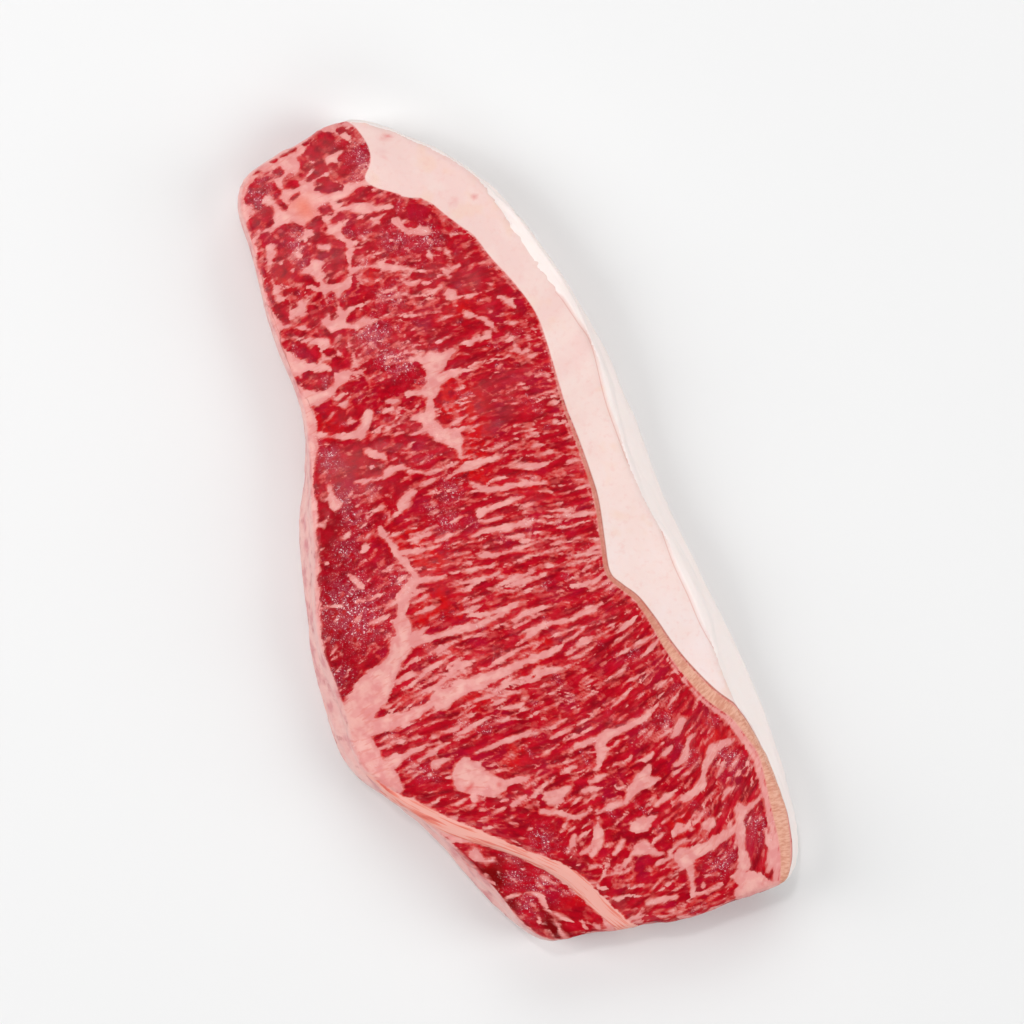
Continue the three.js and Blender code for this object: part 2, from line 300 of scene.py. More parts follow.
# %% Strokes of fat
SEAMS = [
    # head
    (4, [(339, 137), (348, 143), (367, 164)]), (6, [(341, 158), (348, 153)]),
    (7, [(321, 152), (328, 171), (334, 184)]), (8, [(306, 189), (326, 184)]),
    (9, [(273, 165), (290, 157)]), (7, [(290, 172), (278, 186), (270, 200)]),
    (7, [(322, 194), (348, 190), (368, 187)]),
    ([9, 16, 14], [(285, 221), (306, 208), (318, 199)]), ([6, 10], [(256, 243), (284, 222)]),
    (8, [(327, 222), (341, 213), (367, 212), (394, 210)]),
    ([6, 7, 7], [(396, 222), (408, 235), (428, 236)]),
    ([9, 10, 9], [(304, 226), (301, 245), (297, 260)]), (9, [(297, 260), (319, 269), (329, 263)]),
    (8, [(283, 277), (319, 277), (327, 292)]),
    ([7, 9, 9, 6], [(319, 291), (343, 286), (352, 275), (380, 269)]),
    ([8, 6, 3], [(380, 269), (408, 271), (425, 274)]), (5, [(347, 243), (348, 276)]),
    ([5, 6, 3], [(424, 284), (448, 277), (462, 268)]), (6, [(328, 295), (328, 319), (340, 324)]),
    ([6, 5, 2], [(343, 318), (358, 311), (376, 304)]),
    ([5, 7, 6, 3], [(300, 331), (332, 330), (362, 328), (392, 319)]),
    (4, [(392, 319), (418, 317)]), (7, [(284, 303), (303, 307), (311, 318)]),
    (5, [(262, 268), (275, 262)]), ([7, 8, 4], [(468, 317), (486, 322), (497, 333)]),
    (7, [(480, 342), (492, 334)]), ([3, 6, 4], [(434, 360), (461, 351), (479, 339)]),
    (6, [(447, 251), (452, 258)]), (6, [(431, 253), (434, 262)]), (7, [(447, 293), (456, 302)]),
    (6, [(500, 300), (512, 310)]),
    # neck and the river of fat in the middle
    ([16, 15, 8], [(303, 405), (327, 394), (341, 380)]),
    ([8, 6, 4], [(338, 378), (352, 375), (368, 372)]),
    ([6, 16, 8], [(418, 361), (434, 366), (448, 357)]), (18, [(431, 370), (433, 384)]),
    ([14, 7, 3], [(436, 382), (452, 376), (482, 370)]), ([12, 7], [(429, 393), (408, 397)]),
    (7, [(389, 405), (400, 404)]), ([16, 10, 11], [(432, 390), (429, 408), (428, 424)]),
    ([9, 4], [(425, 421), (412, 419)]), ([8, 3], [(426, 430), (412, 434)]),
    ([11, 14, 15, 6], [(428, 424), (440, 436), (455, 442), (460, 457)]),
    ([8, 3], [(455, 436), (470, 429)]),
    ([3, 8, 6, 3], [(446, 480), (466, 468), (484, 463), (506, 456)]),
    ([4, 7, 6, 3], [(470, 483), (488, 490), (512, 486), (545, 483)]),
    ([7, 6, 2], [(481, 512), (500, 504), (524, 496)]),
    ([6, 6, 3], [(481, 521), (492, 520), (502, 517)]),
    ([3, 9, 8, 4], [(472, 537), (496, 529), (516, 525), (542, 520)]),
    # left muscle
    ([5, 5, 8, 9], [(317, 438), (353, 436), (365, 429), (370, 416)]),
    ([10, 6], [(369, 453), (384, 459)]),
    ([4, 5, 9, 5], [(357, 483), (380, 481), (393, 472), (410, 467)]),
    ([3, 5, 3], [(410, 471), (424, 472), (438, 470)]), ([6, 9], [(333, 487), (338, 504)]),
    ([8, 7], [(412, 491), (404, 507)]), (6, [(352, 575), (366, 585)]),
    ([4, 4], [(322, 608), (345, 604)]), (4, [(368, 600), (388, 590)]),
    (4, [(373, 623), (390, 612)]), ([6, 9, 10], [(382, 530), (391, 543), (398, 554)]),
    ([7, 7, 3], [(398, 553), (420, 550), (440, 546)]),
    ([9, 10, 9], [(398, 554), (410, 568), (418, 579)]),
    ([9, 6, 5, 2], [(418, 579), (436, 577), (462, 571), (484, 565)]),
    ([14, 15, 15, 18, 24], [(414, 580), (404, 598), (403, 622), (401, 647), (388, 668)]),
    ([24, 28, 30], [(388, 668), (373, 692), (358, 712)]),
    ([14, 26, 30, 26], [(345, 708), (350, 730), (364, 755), (386, 782)]),
    # grain of the eye
    ([9, 7, 7, 4], [(414, 641), (446, 632), (479, 623), (508, 610)]),
    ([3, 8, 8, 4], [(517, 643), (534, 631), (550, 623), (568, 619)]),
    ([15, 11, 12, 17, 13, 10, 8, 3], [(370, 724), (400, 717), (423, 707), (448, 693),
     (470, 683), (496, 672), (528, 658), (562, 644)]),
    ([3, 7, 6, 2], [(455, 733), (466, 726), (480, 719), (493, 713)]),
    ([16, 13, 7, 3], [(372, 770), (396, 759), (423, 746), (440, 740)]),
    ([8, 5], [(437, 761), (458, 751)]),
    ([3, 5, 5, 3], [(475, 749), (504, 738), (530, 730), (552, 722)]),
    ([10, 26, 22, 15, 6, 3], [(466, 757), (468, 770), (478, 778), (496, 782), (513, 777),
     (530, 773)]),
    ([14, 8], [(474, 786), (477, 798)]), ([4, 6], [(511, 802), (526, 792)]),
    ([3, 6, 5], [(560, 623), (575, 616), (600, 602)]),
    ([3, 5, 3], [(500, 590), (520, 582), (545, 573)]),
    # lower right
    ([3, 6, 8, 10, 8, 9, 6], [(568, 750), (580, 743), (590, 739), (600, 737), (610, 729),
     (624, 723), (646, 710)]),
    ([9, 8, 7, 3], [(598, 740), (600, 750), (598, 760), (594, 767)]),
    (7, [(574, 735), (582, 730), (591, 723)]), ([3, 5, 3], [(550, 765), (561, 760), (574, 757)]),
    ([2, 4, 3], [(560, 770), (566, 766), (574, 762)]),
    ([3, 4, 3], [(588, 779), (598, 775), (609, 770)]),
    ([4, 5, 3], [(580, 788), (590, 785), (600, 786)]),
    ([12, 11, 3], [(549, 794), (558, 791), (570, 783)]),
    ([5, 6, 7, 4], [(540, 806), (556, 808), (574, 812), (590, 805)]),
    ([6, 9, 10, 11, 16, 12, 4], [(596, 808), (610, 802), (622, 799), (630, 790), (636, 780),
     (642, 772), (646, 763)]),
    ([8, 8, 3], [(640, 783), (650, 778), (657, 775)]),
    ([3, 3], [(606, 797), (619, 794)]), ([4, 5, 3], [(611, 762), (620, 760), (628, 754)]),
    ([4, 5, 3], [(637, 758), (643, 756), (649, 751)]),
    ([4, 7, 4], [(657, 801), (664, 794), (671, 791)]), ([5, 3], [(661, 752), (668, 744)]),
    ([3, 7, 8, 6, 3], [(671, 763), (680, 757), (684, 748), (686, 738), (691, 731)]),
    ([5, 8, 8], [(669, 733), (675, 727), (679, 716)]), ([13, 13], [(636, 824), (643, 819)]),
    ([9, 3], [(643, 818), (656, 812)]),
    ([5, 13, 13, 5], [(629, 851), (640, 845), (650, 848), (662, 850)]),
    ([6, 8, 8, 5], [(596, 814), (597, 828), (596, 840), (591, 850)]),
    ([3, 5, 5], [(581, 849), (588, 843), (593, 833)]),
    ([3, 5, 4], [(567, 846), (571, 839), (575, 831)]),
    ([5, 7, 4], [(612, 849), (617, 841), (620, 836)]),
    ([3, 6, 3], [(592, 862), (601, 860), (608, 856)]),
    ([3, 5, 5], [(648, 863), (660, 858), (670, 851)]),
    ([5, 8, 5], [(669, 848), (676, 842), (684, 836)]), ([7, 7], [(673, 829), (677, 823)]),
    ([4, 7, 6, 2], [(689, 824), (695, 814), (701, 807), (706, 800)]),
    ([6, 7], [(703, 821), (708, 817)]),
    ([4, 6, 8, 9, 12, 9, 7, 12, 9, 4], [(670, 799), (682, 795), (690, 790), (697, 784),
     (701, 775), (703, 765), (708, 755), (711, 746), (720, 740), (729, 736)]),
    ([14, 13, 11, 10, 9, 9], [(680, 856), (690, 848), (700, 842), (712, 835), (724, 827),
     (734, 821)]),
    ([8, 9, 9, 10, 13], [(737, 800), (736, 815), (736, 830), (738, 845), (740, 860)]),
    ([8, 7, 5, 3], [(739, 806), (748, 801), (756, 795), (761, 788)]),
    ([16, 24, 26, 20], [(738, 872), (750, 880), (765, 882), (779, 882)]),
    (12, [(736, 884), (738, 898)]),
    ([4, 8, 10, 9], [(763, 826), (768, 842), (770, 853), (766, 864)]),
    ([9, 9, 8], [(687, 860), (690, 875), (692, 889)]),
    ([5, 6, 3], [(693, 888), (706, 887), (718, 879)]), ([4, 3], [(703, 873), (716, 870)]),
    ([4, 6, 4], [(676, 912), (698, 912), (722, 907)]),
    ([3, 6, 4], [(648, 897), (660, 894), (674, 891)]), ([4, 4], [(671, 871), (684, 863)]),
    ([3, 4, 3], [(719, 794), (722, 788), (734, 780)]), ([3, 4], [(742, 771), (747, 761)]),
    ([4, 3], [(735, 769), (739, 763)]),
    # small muscle
    ([6, 12, 9], [(536, 852), (550, 862), (566, 876)]), (5, [(548, 905), (560, 912), (572, 918)]),
    ([3, 4, 5, 5], [(503, 896), (520, 890), (537, 890), (546, 903)]),
    ([4, 3, 4], [(546, 903), (556, 916), (568, 937)]),
    ([6, 9, 7], [(592, 900), (605, 917), (612, 930)]),
    ([12, 9, 6], [(420, 818), (440, 828), (466, 838)]),
]
FAR = -3.0

# The sheet that the strokes are drawn on, pushed about by soft noise
CALM = 0.35 + 0.3 * ramp(LOBED, 0.0, 0.3)
WX, WY = (flat + CALM * (0.9 * patches(X, Y, 8.0, seed) + 0.5 * patches(X, Y, 2.8, seed + 1)
                         + 0.22 * patches(X, Y, 1.2, seed + 2))
          for flat, seed in ((X, 1), (Y, 4)))


def cell_of(x, y):
    """Row and column of the cell at a place."""
    return (int(np.clip((y - GRID_Y[0]) / CELL, 0, len(GRID_Y) - 1)),
            int(np.clip((x - GRID_X[0]) / CELL, 0, len(GRID_X) - 1)))


def draw(field, line, halves, margin=2.2):
    """Lays a line of fat: the field keeps how deep inside the fat each cell is, in mm."""
    for a, b, ha, hb in zip(line[:-1], line[1:], halves[:-1], halves[1:]):
        pad = max(ha, hb) + margin
        r0, c0 = cell_of(*(np.minimum(a, b) - pad))
        r1, c1 = cell_of(*(np.maximum(a, b) + pad))
        x, y = WX[r0:r1 + 1, c0:c1 + 1], WY[r0:r1 + 1, c0:c1 + 1]
        d = b - a
        t = np.clip(((x - a[0]) * d[0] + (y - a[1]) * d[1]) / max(d @ d, 1e-9), 0, 1)
        inside = ha + (hb - ha) * t - np.hypot(x - a[0] - t * d[0], y - a[1] - t * d[1])
        window = field[r0:r1 + 1, c0:c1 + 1]
        np.maximum(window, inside, out=window)


def stroke(field, widths, points):
    """A seam through a few places. Widths in photo pixels at each place, or one for all,
    and then both ends are drawn to a blunt point."""
    line = curve(points, 1.2)
    at, marks = np.linspace(0, 1, len(line)), np.linspace(0, 1, len(points))
    halves = np.interp(at, marks, np.broadcast_to(widths, len(points)) * MM_A_PIXEL / 2)
    if np.ndim(widths) == 0:
        halves = halves * (0.5 + 0.6 * ramp(np.minimum(at, 1 - at), 0, 0.35))
    draw(field, line, halves * (1 + 0.45 * patches(line[:, 0], line[:, 1], 2.4, 9)))


SEAM_FAT = np.full(X.shape, FAR)
for widths, points in SEAMS:
    stroke(SEAM_FAT, widths, points)
print("big seams:", len(SEAMS))

# %% [markdown]
# ## Streaks between the fibres
# The fine marbling is scattered by chance, but chance with manners: a streak starts only where
# no other lies close, follows the grain both ways, and tapers to points. Long ones go first,
# then shorter ones fill the gaps. A second, fainter set lies just under the surface and shows
# through the lean as paler smears.

# %% Scatter the streaks
STEP = 0.8


def follow_grain(x, y, length, rng, bend):
    """A line through a place that follows the grain both ways."""
    sides = []
    for way in (STEP, -STEP):
        px, py, turn, run = x, y, 0.0, []
        for _ in range(int(length / 2 / STEP)):
            turn = 0.8 * turn + rng.normal(0, bend)
            a = HEADING[cell_of(px, py)] + turn
            px, py = px + way * math.cos(a), py + way * math.sin(a)
            run.append((px, py))
        sides.append(run)
    return np.array(sides[1][::-1] + [(x, y)] + sides[0])


def scatter(field, tries, seed, longer, wider, gap, in_streaky, in_lobed):
    """Tapered streaks wherever they have room. Returns how many found a place."""
    rng = np.random.default_rng(seed)
    rows, cols = np.nonzero(LEAN > 0.6)
    made = 0
    for k in rng.integers(0, len(rows), tries):
        r, c = rows[k], cols[k]
        wanted = in_streaky + (in_lobed - in_streaky) * LOBED[r, c]
        if rng.random() > wanted or field[r, c] > -gap * rng.uniform(0.6, 1.4):
            continue
        length = LENGTH[r, c] * longer * rng.uniform(0.4, 1.5)
        half = WIDTH[r, c] * wider * 0.5 * rng.uniform(0.5, 1.4)
        line = follow_grain(GRID_X[c], GRID_Y[r], length, rng, 0.10 + 0.25 * LOBED[r, c])
        t = np.linspace(0, 1, len(line))
        peak = rng.uniform(0.3, 0.7)
        taper = np.clip(np.minimum(t / peak, (1 - t) / (1 - peak)), 0, 1)**0.85
        draw(field, line, half * taper * (1 + 0.35 * np.sin(t * 9 + k)) - 0.08, 1.8)
        made += 1
    return made


STREAKS = SEAM_FAT.copy()
counts = [scatter(STREAKS, 3500, 11, 1.2, 0.95, 1.15, 1.0, 0.15),
          scatter(STREAKS, 4500, 12, 0.6, 0.75, 0.8, 0.8, 0.5),
          scatter(STREAKS, 4000, 13, 0.35, 0.55, 0.8, 0.4, 0.6)]
FAINT = np.full(X.shape, FAR)
counts.append(scatter(FAINT, 6000, 14, 0.7, 0.9, 0.4, 1.0, 0.6))
print("streaks, short ones, flecks, faint ones:", counts)

# %% [markdown]
# ## Lobes
# Towards the head and in the small muscle the bundles are cut across, so the fat makes a net
# round rounded lobes of lean. That is a Voronoi pattern: each cell belongs to the nearest seed,
# and the difference between the two nearest seeds is the distance from the net. It is worked
# out in grain coordinates, so that the lobes lie along the fibres.

# %% The net between the lobes
def net_distance(seed, long, short):
    """Distance from the borders of a net of irregular cells, in mm."""
    jitter = np.random.default_rng(seed).uniform(0.1, 0.9, (2, TABLE, TABLE))
    a = (U + 0.9 * patches(X, Y, 4, seed + 1)) / long + 64
    b = (V + 0.9 * patches(X, Y, 4, seed + 2)) / short + 64
    i, j = np.floor(a).astype(int), np.floor(b).astype(int)
    first, second = np.full(a.shape, 9.0), np.full(a.shape, 9.0)
    for ii, jj in ((i + di, j + dj) for di in (-1, 0, 1) for dj in (-1, 0, 1)):
        shift_a, shift_b = jitter[:, ii % TABLE, jj % TABLE]
        d = np.hypot(ii + shift_a - a, jj + shift_b - b)
        second = np.where(d < first, first, np.minimum(second, d))
        first = np.minimum(first, d)
    return (second - first) * short / 2


NET_HALF = (0.45 * patches(X, Y, 4.5, 31) + 0.35 * patches(X, Y, 9, 32) - 0.5 + 1.25 * FATTY
            + 0.25 * (LOBED - 0.5))
NET = NET_HALF - net_distance(21, 5.2, 3.4) - 3 * ramp(LOBED, 0.3, 0.05)
CRACKS = 0.35 * patches(X, Y, 3.5, 45) - 0.12 - net_distance(24, 4.8, 2.9)
print("net shows on", round(100 * float((NET > 0)[LEAN > 0].mean())), "% of the lean face")

# %% [markdown]
# ## Lean in fat
# At the narrow end, and at the tip of the small muscle, it is the other way round: fat is the
# ground, and the lean lies in it as islands. So inside two outlines the lean is stroked, and the
# fat is what is left.

# %% Islands of lean
HEAD_EDGE = curve([
    (338, 108), (290, 128), (232, 172), (232, 230), (248, 300), (272, 350), (290, 393), (330, 393),
    (352, 376), (347, 335), (352, 300), (353, 262), (353, 226), (342, 212), (360, 190), (377, 186),
    (381, 150), (366, 116), (338, 108)])
HEAD_LEAN = [
    # the corner and its edge
    (8, [(329, 129), (337, 127)]), (8, [(303, 148), (312, 142), (320, 137)]),
    (12, [(322, 143), (333, 148), (343, 152)]), (12, [(318, 148), (322, 158)]),
    (14, [(312, 156), (311, 166), (315, 173)]), (12, [(319, 160), (321, 172)]),
    (8, [(302, 168), (310, 176)]),
    (9, [(303, 181), (313, 181), (323, 182), (333, 186), (341, 189)]),
    (5, [(319, 191), (330, 192), (340, 190)]),
    # the round muscle beside the cap
    (6, [(343, 134), (345, 134)]), (9, [(353, 136), (360, 142), (366, 152), (367, 158)]),
    (7, [(333, 140), (343, 146), (351, 152), (355, 157)]), (7, [(343, 161), (350, 158)]),
    (14, [(355, 162), (363, 166)]), (12, [(333, 168), (338, 177), (346, 183)]),
    (16, [(347, 170), (354, 180)]), (12, [(363, 168), (362, 180)]),
    # specks and islands in the soft fat
    (7, [(275, 165), (276, 166)]), (6, [(288, 157), (298, 151)]), (4, [(285, 160), (288, 160)]),
    (5, [(254, 173), (261, 170)]), (4, [(252, 176), (262, 177)]), (4, [(258, 185), (263, 182)]),
    (11, [(290, 187), (294, 187)]), (6, [(277, 192), (278, 203)]), (8, [(284, 208), (288, 211)]),
    (8, [(330, 206), (325, 212), (330, 217)]),
    (12, [(252, 202), (262, 194), (272, 184), (280, 178)]), (7, [(258, 200), (262, 210)]),
    (5, [(257, 222), (256, 232), (254, 240)]), (5, [(262, 218), (264, 229)]),
    (8, [(269, 213), (272, 226)]),
    # the curled lobe
    (6, [(262, 246), (270, 243), (280, 246)]),
    (6, [(276, 240), (285, 232), (295, 230), (301, 237), (302, 246)]),
    (5, [(284, 238), (291, 245), (299, 250)]), (9, [(283, 254), (291, 250), (299, 247)]),
    (6, [(266, 252), (264, 262), (263, 266)]), (4, [(265, 268), (267, 276)]),
    (5, [(280, 264), (283, 258), (291, 262), (286, 270)]),
    (6, [(290, 272), (297, 266), (301, 270), (297, 282)]), (11, [(280, 272), (283, 284)]),
    (9, [(271, 278), (268, 290), (270, 297)]), (8, [(290, 280), (284, 288)]),
    # between the curled lobe and the eye
    (8, [(311, 228), (320, 226), (326, 232)]), (6, [(319, 232), (320, 238)]),
    (9, [(312, 244), (326, 243), (340, 245)]), (9, [(306, 252), (308, 262), (309, 267)]),
    (11, [(335, 246), (342, 252), (341, 262), (345, 268)]),
    (8, [(326, 272), (335, 268), (345, 272)]), (7, [(325, 280), (336, 280), (347, 277)]),
    (5, [(316, 258), (330, 259)]), (7, [(334, 225), (344, 221), (354, 220)]),
    (12, [(346, 232), (356, 234)]), (8, [(318, 250), (312, 256)]),
    # rows below
    (8, [(294, 286), (304, 285), (313, 285), (318, 287)]),
    (8, [(286, 297), (296, 295), (308, 297), (322, 297)]), (9, [(292, 305), (298, 306)]),
    (12, [(317, 303), (322, 312), (316, 318)]), (8, [(309, 322), (320, 323)]),
    (10, [(286, 308), (286, 318), (292, 324)]), (5, [(297, 323), (305, 322)]),
    (5, [(272, 298), (275, 305), (279, 314)]), (8, [(270, 286), (272, 296)]),
    (11, [(333, 296), (333, 306), (336, 316)]), (12, [(345, 303), (358, 303)]),
    (7, [(284, 336), (296, 334), (308, 338)]), (7, [(290, 346), (299, 348), (306, 356)]),
    (7, [(312, 336), (322, 334), (332, 338)]), (10, [(336, 344), (350, 338)]),
    (9, [(326, 354), (336, 354)]), (12, [(330, 366), (345, 366), (358, 368)]),
    (9, [(344, 350), (354, 358)]), (14, [(310, 350), (318, 360)]), (6, [(294, 378), (302, 382)]),
    (7, [(306, 375), (316, 378), (326, 377)]), (9, [(326, 378), (325, 388)]),
    (5, [(310, 388), (322, 388)]),
]
TIP_EDGE = curve([(418, 815), (412, 832), (440, 862), (470, 884), (486, 866), (524, 862),
                  (514, 846), (480, 834), (450, 824), (418, 815)])
TIP_LEAN = [
    (4, [(428, 829), (440, 833), (447, 834)]),
    (5, [(447, 838), (452, 843), (460, 842), (468, 843)]),
    (9, [(445, 845), (452, 850), (462, 853), (468, 858)]),
    (8, [(477, 840), (484, 843), (494, 845), (506, 845)]), (5, [(484, 850), (496, 852)]),
    (11, [(500, 851), (510, 855), (520, 859)]), (16, [(470, 872), (482, 872), (500, 868)]),
]
print("islands of lean:", len(HEAD_LEAN) + len(TIP_LEAN))

# %% [markdown]
# ## One map of fat
# The parts come together by taking the larger of two depths, which is how two blots of fat
# merge. Torn noise, stretched along the grain, frays the edges, and dry patches thin the
# scattered streaks, because no real marbling is even. Inside the two outlines the ground of fat
# takes over, a few more islands of lean are cut out of the soft fat, and last come the rim, the
# silverskin and the pale line inside the membrane.

# %% Put the fat together
TORN = (0.42 * patches(U * 0.35, V, 0.9, 33) + 0.42 * patches(U * 0.4, V, 2.0, 34)
        + 0.2 * patches(X, Y, 0.8, 35))
DRY = ramp(patches(U * 0.6, V, 6.0, 36), 0.1, 0.7)
TEETH = 0.6 * patches(U * 0.28, V, 1.1, 37) + 0.5 * patches(U * 0.35, V, 2.3, 38)
FAT = np.maximum(STREAKS, NET)
FAT = FAT + TORN * np.clip(0.7 + FAT, 0.35, 0.8) * (0.7 + 0.1 * LOBED) - 0.02 - 0.3 * DRY
JAGGED = 0.3 * TORN + 0.55 * TEETH * np.clip(0.6 + 0.3 * SEAM_FAT, 0.4, 1)
FAT = np.maximum(FAT, SEAM_FAT + JAGGED)

for edge, lean_strokes in ((HEAD_EDGE, HEAD_LEAN), (TIP_EDGE, TIP_LEAN)):
    ISLES = np.full(X.shape, FAR)
    for widths, points in lean_strokes:
        stroke(ISLES, widths, points)
    ground = np.minimum(-ISLES - 0.4, 1.2) + 0.7 * TORN + 0.3 * TEETH
    ground = np.maximum(ground, CRACKS)
    inside = ramp(line_distance(X, Y, edge)[0], -0.6, 0.6)
    FAT = ground * inside + FAT * (1 - inside)

SMALL_LEAN = [(4.5, [(336, 204), (358, 200), (386, 196)]),
              (7, [(394, 199), (401, 205), (399, 212)]), (22, [(414, 215), (428, 218)]),
              (4, [(292, 203), (299, 197)]), (4, [(398, 790), (410, 797)]),
              (3, [(384, 794), (392, 800)])]
for width, points in SMALL_LEAN:
    island = np.full(X.shape, FAR)
    stroke(island, width, points)
    FAT = np.where(island > -0.5, np.minimum(FAT, -island), FAT)
    CAP = np.where(island > -1.5, np.minimum(CAP, -island), CAP)

MEMBRANE = (0.3 + 0.9 * ramp(-Y, -60, -10) + 2.3 * ramp(-Y, 10, 45)
            + 1.2 * np.exp(-((Y + 68) / 13)**2))
BAND = np.minimum(-CAP, MEMBRANE + CAP)
INNER_LINE = 0.9 * ramp(-Y, 20, 60) - np.abs(CAP + MEMBRANE + 0.6)
SILVER_HALF = np.interp(SEAM_ALONG, [0.02, 0.12, 0.18, 0.25, 0.45, 0.55, 0.65, 0.75, 1],
                        [0.4, 1.4, 2.7, 2.3, 1.6, 1.4, 1.9, 2.2, 2.0])
SILVER = SILVER_HALF + 0.25 * patches(X, Y, 5, 41) - np.abs(SEAM_AT)
FRAY = 0.35 * patches(X, Y, 1.6, 42) + 0.3 * patches(X, Y, 4.0, 43)
FAT = np.maximum.reduce([FAT, CAP + FRAY * (CAP_ALONG < 0.5), RIM_OUT + FRAY, SILVER, BAND,
                         INNER_LINE + 0.3 * FRAY])
print("fat on the lean face:", round(100 * float((FAT > 0)[LEAN > 0].mean())), "%")

# %% [markdown]
# ## Thin the plain parts
# Half-millimetre squares are needed only where marbling is seen from close by. Decimate in edit
# mode works on the selected faces alone, so the lean cut face is left out. The underside is
# thinned in a step of its own: it is flat, and Decimate always collapses flat faces first, so in
# one step with the sides it would lose every point that its marbling is stored on.

# %% Decimate the underside, then the cap and the sides
def of_faces(which):
    """A vector of every face: its middle or its normal."""
    values = np.empty(len(steak.data.polygons) * 3, np.float32)
    steak.data.polygons.foreach_get(which, values)
    return values.reshape(-1, 3).astype(float)


def thin(chosen, share):
    """Collapses the chosen faces to a share of their number."""
    steak.data.polygons.foreach_set("select", chosen)
    steak.data.vertices.foreach_set("select", np.zeros(len(steak.data.vertices), bool))
    steak.data.edges.foreach_set("select", np.zeros(len(steak.data.edges), bool))
    bpy.ops.object.mode_set(mode="EDIT")
    bpy.ops.mesh.select_mode(type="FACE")
    bpy.ops.mesh.decimate(ratio=share)
    bpy.ops.object.mode_set(mode="OBJECT")


UNDER_SHARE, PLAIN_SHARE = 0.2, 0.25
thin(of_faces("normal")[:, 2] < -0.9, UNDER_SHARE)
middles, face_turn = of_faces("center") / MM, of_faces("normal")[:, 2]
marbled = (face_turn > 0.8) & (read_map(LEAN, middles[:, 0], middles[:, 1]) > -0.6)
thin(~marbled & (face_turn >= -0.9), PLAIN_SHARE)
mesh = steak.data
mesh.calc_loop_triangles()
print("slab:", len(mesh.vertices), "points,", len(mesh.loop_triangles), "triangles")

# %% [markdown]
# ## Where the map meets the slab
# A steak is cut across its fibres, so the marbling runs down through it nearly straight: the
# same map serves the sides and the underside, read a little to one side the deeper a point lies.
# On the bone side the muscle is wrapped in fat and skin, so there the wall counts as fat.

# %% Read the map at every point of the slab
def read_vertices(which):
    """Places in mm, or normals, of every point."""
    values = np.empty(len(mesh.vertices) * 3, np.float32)
    if which == "places":
        mesh.vertices.foreach_get("co", values)
        return values.reshape(-1, 3).astype(float) / MM
    mesh.vertex_normals.foreach_get("vector", values)
    return values.reshape(-1, 3).astype(float)


CUT_HEIGHT, FULL_DEPTH = 19, 20
p, normals = read_vertices("places"), read_vertices("normals")
x, y, z = p.T
facing = normals[:, 2]
depth = np.clip(CUT_HEIGHT - z, 0, None)
face_up = ramp(facing, 0.5, 0.85)
wall = 1 - ramp(np.abs(facing), 0.45, 0.8)
drift = (1 - face_up) * depth / FULL_DEPTH
sx = x + drift * (3 + 3 * patches(x + 0.9 * z, y - 0.7 * z, 7, 51))
sy = y - drift * (4 + 3 * patches(x - 0.8 * z, y + 0.9 * z, 7, 52))


def spots(places, radius):
    """Soft round patches at places in the photo's pixels, from 0 to 1. Radius in mm."""
    total = np.zeros(len(p))
    bent_x, bent_y = x + 1.6 * patches(x, y, 4, 61), y + 1.6 * patches(x, y, 4, 62)
    for cx, cy in place(places):
        total += np.exp(-((bent_x - cx)**2 + (bent_y - cy)**2) / radius**2)
    return np.clip(total, 0, 1) * face_up


rim = read_map(RIM_OUT, sx, sy)
cap = read_map(CAP, sx, sy) + 0.3 * depth * (1 - face_up)
bone_side = ramp(rim, -6, -1) * wall
fat = np.maximum(read_map(FAT, sx, sy), (1.6 * bone_side + 0.5 * patches(sx, z, 5, 53) - 0.6)
                 * ramp(bone_side, 0.0, 0.2) - 3 * (1 - ramp(bone_side, 0.0, 0.2)))
crease = read_map(CREASE_AT, x, y)
silver = read_map(SEAM_AT, sx, sy)
band = read_map(BAND, sx, sy) - 0.25 * depth
grain = np.column_stack((read_map(U, sx, sy), read_map(V, sx, sy), depth))
print("fat reaches", round(float(fat.max()), 1), "mm deep, wall points:", int((wall > 0.5).sum()))

# %% [markdown]
# ## Relief
# Cut fat stands a little proud of the lean, which shrinks as it dries, and no cut face is flat.
# A Displace modifier could do this with a texture, but the heights come from the same map as
# the colours, so the points are moved along their normals in one step. Nothing is moved below
# the surface that the steak lies on.

# %% Raise the fat, sink the lean, draw the creases
def groove(distance, half_width):
    """1 on a line, and fading to nothing a little way off it."""
    return np.exp(-(distance / half_width)**2)


lean_share = 1 - ramp(fat, -0.25, 0.1)
cap_share = ramp(cap, -0.3, 0.6)
height = -0.11 * lean_share
height += (1 - 0.6 * cap_share) * 0.05 * patches(sx + 0.7 * z, sy - 0.5 * z, 2.2, 71)
height += 0.14 * patches(sx - 0.5 * z, sy + 0.7 * z, 5, 72) * (1 - 0.7 * cap_share)
height += 0.12 * cap_share * patches(x, y, 9, 73)
height += (-0.22 * groove(crease, 0.4) - 0.4 * ramp(crease, 0, 6)) * face_up * ramp(cap, 0.6, 1.5)
silver_half = read_map(SILVER_HALF, sx, sy)
height += 0.3 * groove(silver, silver_half * 0.8) * face_up
height += -0.35 * groove(np.abs(silver) - silver_half - 0.2, 0.4) * face_up
height += 0.15 * ramp(band, 0, 0.4) * face_up
height += wall * (0.4 * patches(sx, 1.6 * z, 5, 74) + 0.15 * patches(sx + sy, 1.4 * z, 1.6, 75))
under = ramp(-facing, 0.6, 0.95)
height = height * (1 - under) - under * (0.1 * lean_share + 0.05)
p += normals * height[:, None]
p[:, 2] = np.maximum(p[:, 2], 0.0)
mesh.vertices.foreach_set("co", (p * MM).astype(np.float32).ravel())
mesh.update()
print("relief from", round(float(height.min()), 2), "to", round(float(height.max()), 2), "mm")
